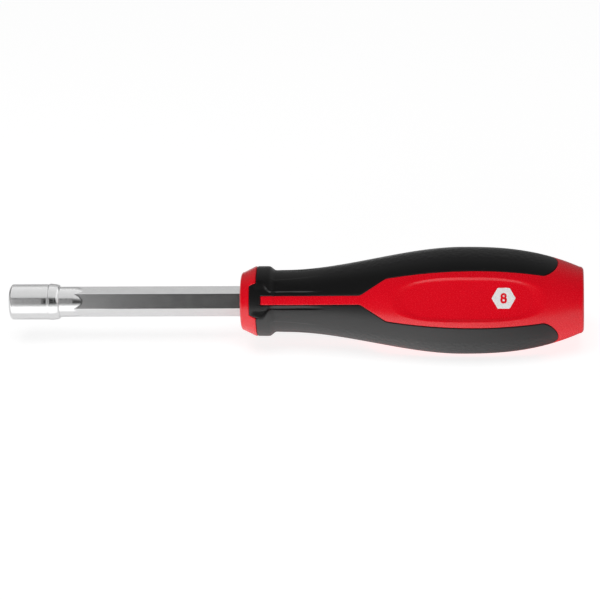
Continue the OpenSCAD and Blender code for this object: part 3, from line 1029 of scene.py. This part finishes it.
class Finish(Nodes):
    """Principled material whose colour and roughness vary between two values each."""

    def __init__(self, name, colors, roughness, metallic=0.0, specular=0.5):
        self.material = bpy.data.materials.new(name)
        super().__init__(self.material)
        self.colors = colors
        self.roughness = roughness
        self.shader = self.nodes["Principled BSDF"]
        self.shader.inputs["Base Color"].default_value = (*colors[1], 1)
        self.shader.inputs["Roughness"].default_value = sum(roughness) / 2
        self.shader.inputs["Metallic"].default_value = metallic
        self.shader.inputs["Specular IOR Level"].default_value = specular
        self.place = self.node("ShaderNodeTexCoord").outputs["Object"]

    def noise(self, scale, detail=2.0, vector=None):
        inputs = {"Vector": vector or self.place, "Scale": scale, "Detail": detail}
        return self.node("ShaderNodeTexNoise", inputs).outputs["Fac"]

    def stretched_noise(self, scale):
        vector = self.node("ShaderNodeMapping", {"Vector": self.place, "Scale": scale}).outputs[0]
        return self.noise(1.0, detail=3.0, vector=vector)

    def cells(self, scale, **settings):
        inputs = {"Vector": self.place, "Scale": scale}
        return self.node("ShaderNodeTexVoronoi", inputs, **settings).outputs["Distance"]

    def weighted(self, *parts):
        """Sum of values, each given with its weight."""
        total = 0.0
        for value, weight in parts:
            total = self.math("ADD", self.math("MULTIPLY", value, weight), total)
        return total

    def set(self, name, value):
        self.links.new(value, self.shader.inputs[name])

    def color_by(self, share):
        first, second = ((*color, 1) for color in self.colors)
        made = self.node("ShaderNodeMix", {0: share, 6: first, 7: second}, data_type="RGBA")
        self.set("Base Color", made.outputs[2])

    def roughen_by(self, noise):
        self.set("Roughness", self.ramp(noise, *NOISE_RANGE, *self.roughness))

    def bump(self, height, depth, strength=1.0):
        inputs = {"Height": height, "Distance": depth * POINT_SCALE, "Strength": strength}
        self.set("Normal", self.node("ShaderNodeBump", inputs).outputs[0])


def steel_finish():
    """Satin steel: drawn lines along the shank and turned lines round the head."""
    finish = Finish("satin_steel", STEEL_COLORS, STEEL_ROUGHNESS, metallic=1.0)
    x = finish.node("ShaderNodeSeparateXYZ", {0: finish.place}).outputs[0]
    on_head = finish.ramp(x, *(POINT_SCALE * place for place in DRAWN_TO_TURNED))
    drawn = finish.stretched_noise(DRAWN_SCALE)
    turned = finish.stretched_noise(TURNED_SCALE)
    lines = finish.mix(on_head, drawn, turned)
    cloud = finish.noise(scale=420.0)
    finish.color_by(cloud)
    uneven = finish.weighted((lines, 0.1), (cloud, 0.05))
    finish.set("Roughness", finish.math("ADD", uneven, STEEL_ROUGHNESS[0]))
    finish.bump(lines, depth=0.006, strength=0.6)
    return finish.material


def magnet_finish():
    finish = Finish("sintered_magnet", MAGNET_COLORS, MAGNET_ROUGHNESS, specular=0.4)
    grains = finish.cells(scale=5200.0)
    cloud = finish.noise(scale=900.0, detail=4.0)
    finish.color_by(cloud)
    finish.roughen_by(cloud)
    finish.bump(finish.weighted((grains, 1.0), (cloud, 0.6)), depth=0.06)
    return finish.material


def core_finish():
    finish = Finish("core_plastic", CORE_COLORS, CORE_ROUGHNESS)
    cloud = finish.noise(scale=700.0, detail=3.0)
    finish.color_by(cloud)
    finish.roughen_by(cloud)
    finish.bump(finish.noise(scale=2600.0), depth=0.015)
    return finish.material


def red_finish():
    finish = Finish("red_plastic", RED_COLORS, RED_ROUGHNESS, specular=0.85)
    grain = finish.noise(scale=3400.0, detail=3.0)
    finish.color_by(finish.noise(scale=160.0, detail=3.0))
    finish.roughen_by(grain)
    finish.bump(finish.weighted((finish.noise(scale=900.0), 0.7), (grain, 0.3)), depth=0.008, strength=0.4)
    return finish.material


def rubber_finish():
    """Soft grip: fine matte grain, with a pebbled band along the crest of each lobe."""
    finish = Finish("soft_rubber", RUBBER_COLORS, RUBBER_ROUGHNESS, specular=1.0)
    x, y, z = finish.node("ShaderNodeSeparateXYZ", {0: finish.place}).outputs

    def along(start, fade):
        first = POINT_SCALE * (EXPOSED_LENGTH + start)
        return finish.ramp(x, first, first + POINT_SCALE * fade)

    turn = finish.math("ARCTAN2", y, finish.math("MULTIPLY", z, -1.0))
    wave = finish.math("COSINE", finish.math("MULTIPLY", turn, float(SECTORS)))
    stretch = finish.math("MULTIPLY", along(PEBBLES_START, PEBBLES_FADE_IN),
                          along(PEBBLES_END, -PEBBLES_FADE_OUT))
    band = finish.math("MULTIPLY", finish.ramp(wave, *PEBBLES_EDGE), stretch)
    pebble = finish.ramp(finish.cells(scale=820.0, feature="SMOOTH_F1"), *PEBBLE_SLOPE)
    dome = finish.math("MULTIPLY", pebble, band)
    grain = finish.noise(scale=4200.0, detail=3.0)
    finish.color_by(finish.noise(scale=120.0, detail=3.0))
    finish.roughen_by(grain)
    finish.bump(finish.weighted((dome, 1.0), (grain, 0.16)), depth=0.09)
    return finish.material


def ink_finish():
    """White print with fine speckle."""
    finish = Finish("white_print", INK_COLORS, INK_ROUGHNESS, specular=0.35)
    speckle = finish.noise(scale=5200.0, detail=4.0)
    finish.color_by(finish.ramp(speckle, *INK_SPECKLE))
    finish.roughen_by(speckle)
    finish.bump(speckle, depth=0.01)
    return finish.material


# Studio

def floor_finish():
    """White floor that keeps the shadow, with a level each for the camera, mirrors and bounced light.

    In mirrors it darkens to the right.
    """
    material = bpy.data.materials.new("floor_white")
    floor = Nodes(material)
    floor.nodes.clear()

    def surface(grey, glow):
        lit = floor.node("ShaderNodeBsdfDiffuse", {"Color": (grey, grey, grey, 1)})
        light = floor.node("ShaderNodeEmission", {"Strength": glow})
        return floor.node("ShaderNodeAddShader", {0: lit.outputs[0], 1: light.outputs[0]}).outputs[0]

    def choice(share, first, second):
        return floor.node("ShaderNodeMixShader", {0: share, 1: first, 2: second}).outputs[0]

    position = floor.node("ShaderNodeNewGeometry").outputs["Position"]
    x = floor.node("ShaderNodeSeparateXYZ", {0: position}).outputs[0]
    to_right = floor.ramp(x, *FLOOR_FADE, interpolation="LINEAR")
    path = floor.node("ShaderNodeLightPath").outputs
    mirrored = choice(to_right, surface(*FLOOR_MIRRORED), surface(*FLOOR_MIRRORED_RIGHT))
    unseen = choice(path["Is Glossy Ray"], surface(*FLOOR_BOUNCED), mirrored)
    shown = choice(path["Is Camera Ray"], unseen, surface(*FLOOR_SEEN))
    floor.node("ShaderNodeOutputMaterial", {"Surface": shown})
    return material


def build_floor():
    mesh = bpy.data.meshes.new("floor")
    half = FLOOR_SIZE / 2
    corners = [(-half, -half, 0), (half, -half, 0), (half, half, 0), (-half, half, 0)]
    mesh.from_pydata(corners, [], [(0, 1, 2, 3)])
    mesh.materials.append(floor_finish())
    floor = new_object("floor", mesh)
    floor.location = (CAMERA_AIM_X, 0, CAD_BOX[0].z - FLOOR_GAP)


def build_world():
    """Soft surroundings: white to the camera, dim on its side of the object and brighter behind."""
    world = bpy.data.worlds.new("studio")
    bpy.context.scene.world = world
    sky = Nodes(world)
    sky.nodes.clear()
    way = sky.node("ShaderNodeTexCoord").outputs["Generated"]
    y = sky.node("ShaderNodeSeparateXYZ", {0: way}).outputs[1]
    behind = sky.ramp(y, *WORLD_BEHIND_EDGE, WORLD_ABOVE, WORLD_BEHIND)
    level = sky.mix(sky.ramp(y, *WORLD_FRONT_EDGE), behind, WORLD_FRONT)
    path = sky.node("ShaderNodeLightPath").outputs
    strength = sky.mix(path["Is Camera Ray"], level, 1.0)
    background = sky.node("ShaderNodeBackground", {"Strength": strength})
    sky.node("ShaderNodeOutputWorld", {"Surface": background.outputs[0]})


def toward(azimuth, elevation):
    """Direction from the object, from angles in degrees."""
    azimuth, elevation = math.radians(azimuth), math.radians(elevation)
    level = math.cos(elevation)
    return Vector((math.sin(azimuth) * level, -math.cos(azimuth) * level, math.sin(elevation)))


def area_light(lamp):
    """Soft rectangular lamp that the camera doesn't see."""
    data = bpy.data.lights.new(lamp.name, "AREA")
    data.shape = "RECTANGLE"
    data.size, data.size_y = lamp.size
    data.energy = lamp.radiance * math.pi * lamp.size[0] * lamp.size[1]
    direction = toward(lamp.azimuth, lamp.elevation)
    light = new_object(lamp.name, data)
    light.location = Vector(lamp.aim) + direction * lamp.distance
    light.rotation_mode = "QUATERNION"
    light.rotation_quaternion = (-direction).to_track_quat("-Z", "Y")
    light.visible_camera = False
    return light


def keep_to(name, lights):
    """Let these lights fall on one dressed piece alone."""
    lit = bpy.data.collections.new(name + "_alone")
    lit.objects.link(bpy.data.objects[name])
    for light in lights:
        light.light_linking.receiver_collection = lit


def build_lights():
    """Key lights that don't show as highlights, and cards that the shaft alone mirrors."""
    keys = [area_light(lamp) for lamp in KEYS]
    body_keys = [area_light(lamp) for lamp in BODY_KEYS]
    for light in keys + body_keys:
        light.visible_glossy = False
        light.data.cycles.use_multiple_importance_sampling = False
    cards = [area_light(lamp) for lamp in SHAFT_CARDS]
    keep_to("shaft_dressed", cards)
    keep_to("body_dressed", body_keys)


def build_camera():
    data = bpy.data.cameras.new("camera")
    camera = new_object("camera", data)
    out = Vector((0, -math.cos(CAMERA_ELEVATION), math.sin(CAMERA_ELEVATION)))
    up = Vector((0, math.sin(CAMERA_ELEVATION), math.cos(CAMERA_ELEVATION)))
    place = Vector((CAMERA_FOOT_X, 0, 0)) + out * CAMERA_DISTANCE
    aim = Vector((CAMERA_AIM_X, 0, 0)) + up * CAMERA_AIM_RISE
    back = (place - aim).normalized()
    right = up.cross(back).normalized()
    level = Matrix((right, back.cross(right), back)).transposed().to_quaternion()
    camera.location = place
    camera.rotation_mode = "QUATERNION"
    camera.rotation_quaternion = level @ Quaternion((0, 0, 1), CAMERA_ROLL)
    data.sensor_width = SENSOR_WIDTH
    data.lens = SENSOR_WIDTH * (aim - place).length / CAMERA_FIELD
    bpy.context.scene.camera = camera


build_camera()
build_floor()
build_world()
build_shaft(steel_finish())
build_magnet(magnet_finish())
build_grip(rubber_finish())
red = red_finish()
build_body(red)
build_lights()
build_mark("size_mark_hexagon", hexagon_edge, HEXAGON_CELL, MARK_LIFT, ink_finish())
build_mark("size_mark_numeral", numeral_edge, NUMERAL_CELL, 2 * MARK_LIFT, red)
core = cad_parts["inner_core"]
core.data.materials.clear()
core.data.materials.append(core_finish())

scene = bpy.context.scene
scene.view_settings.view_transform = "Standard"
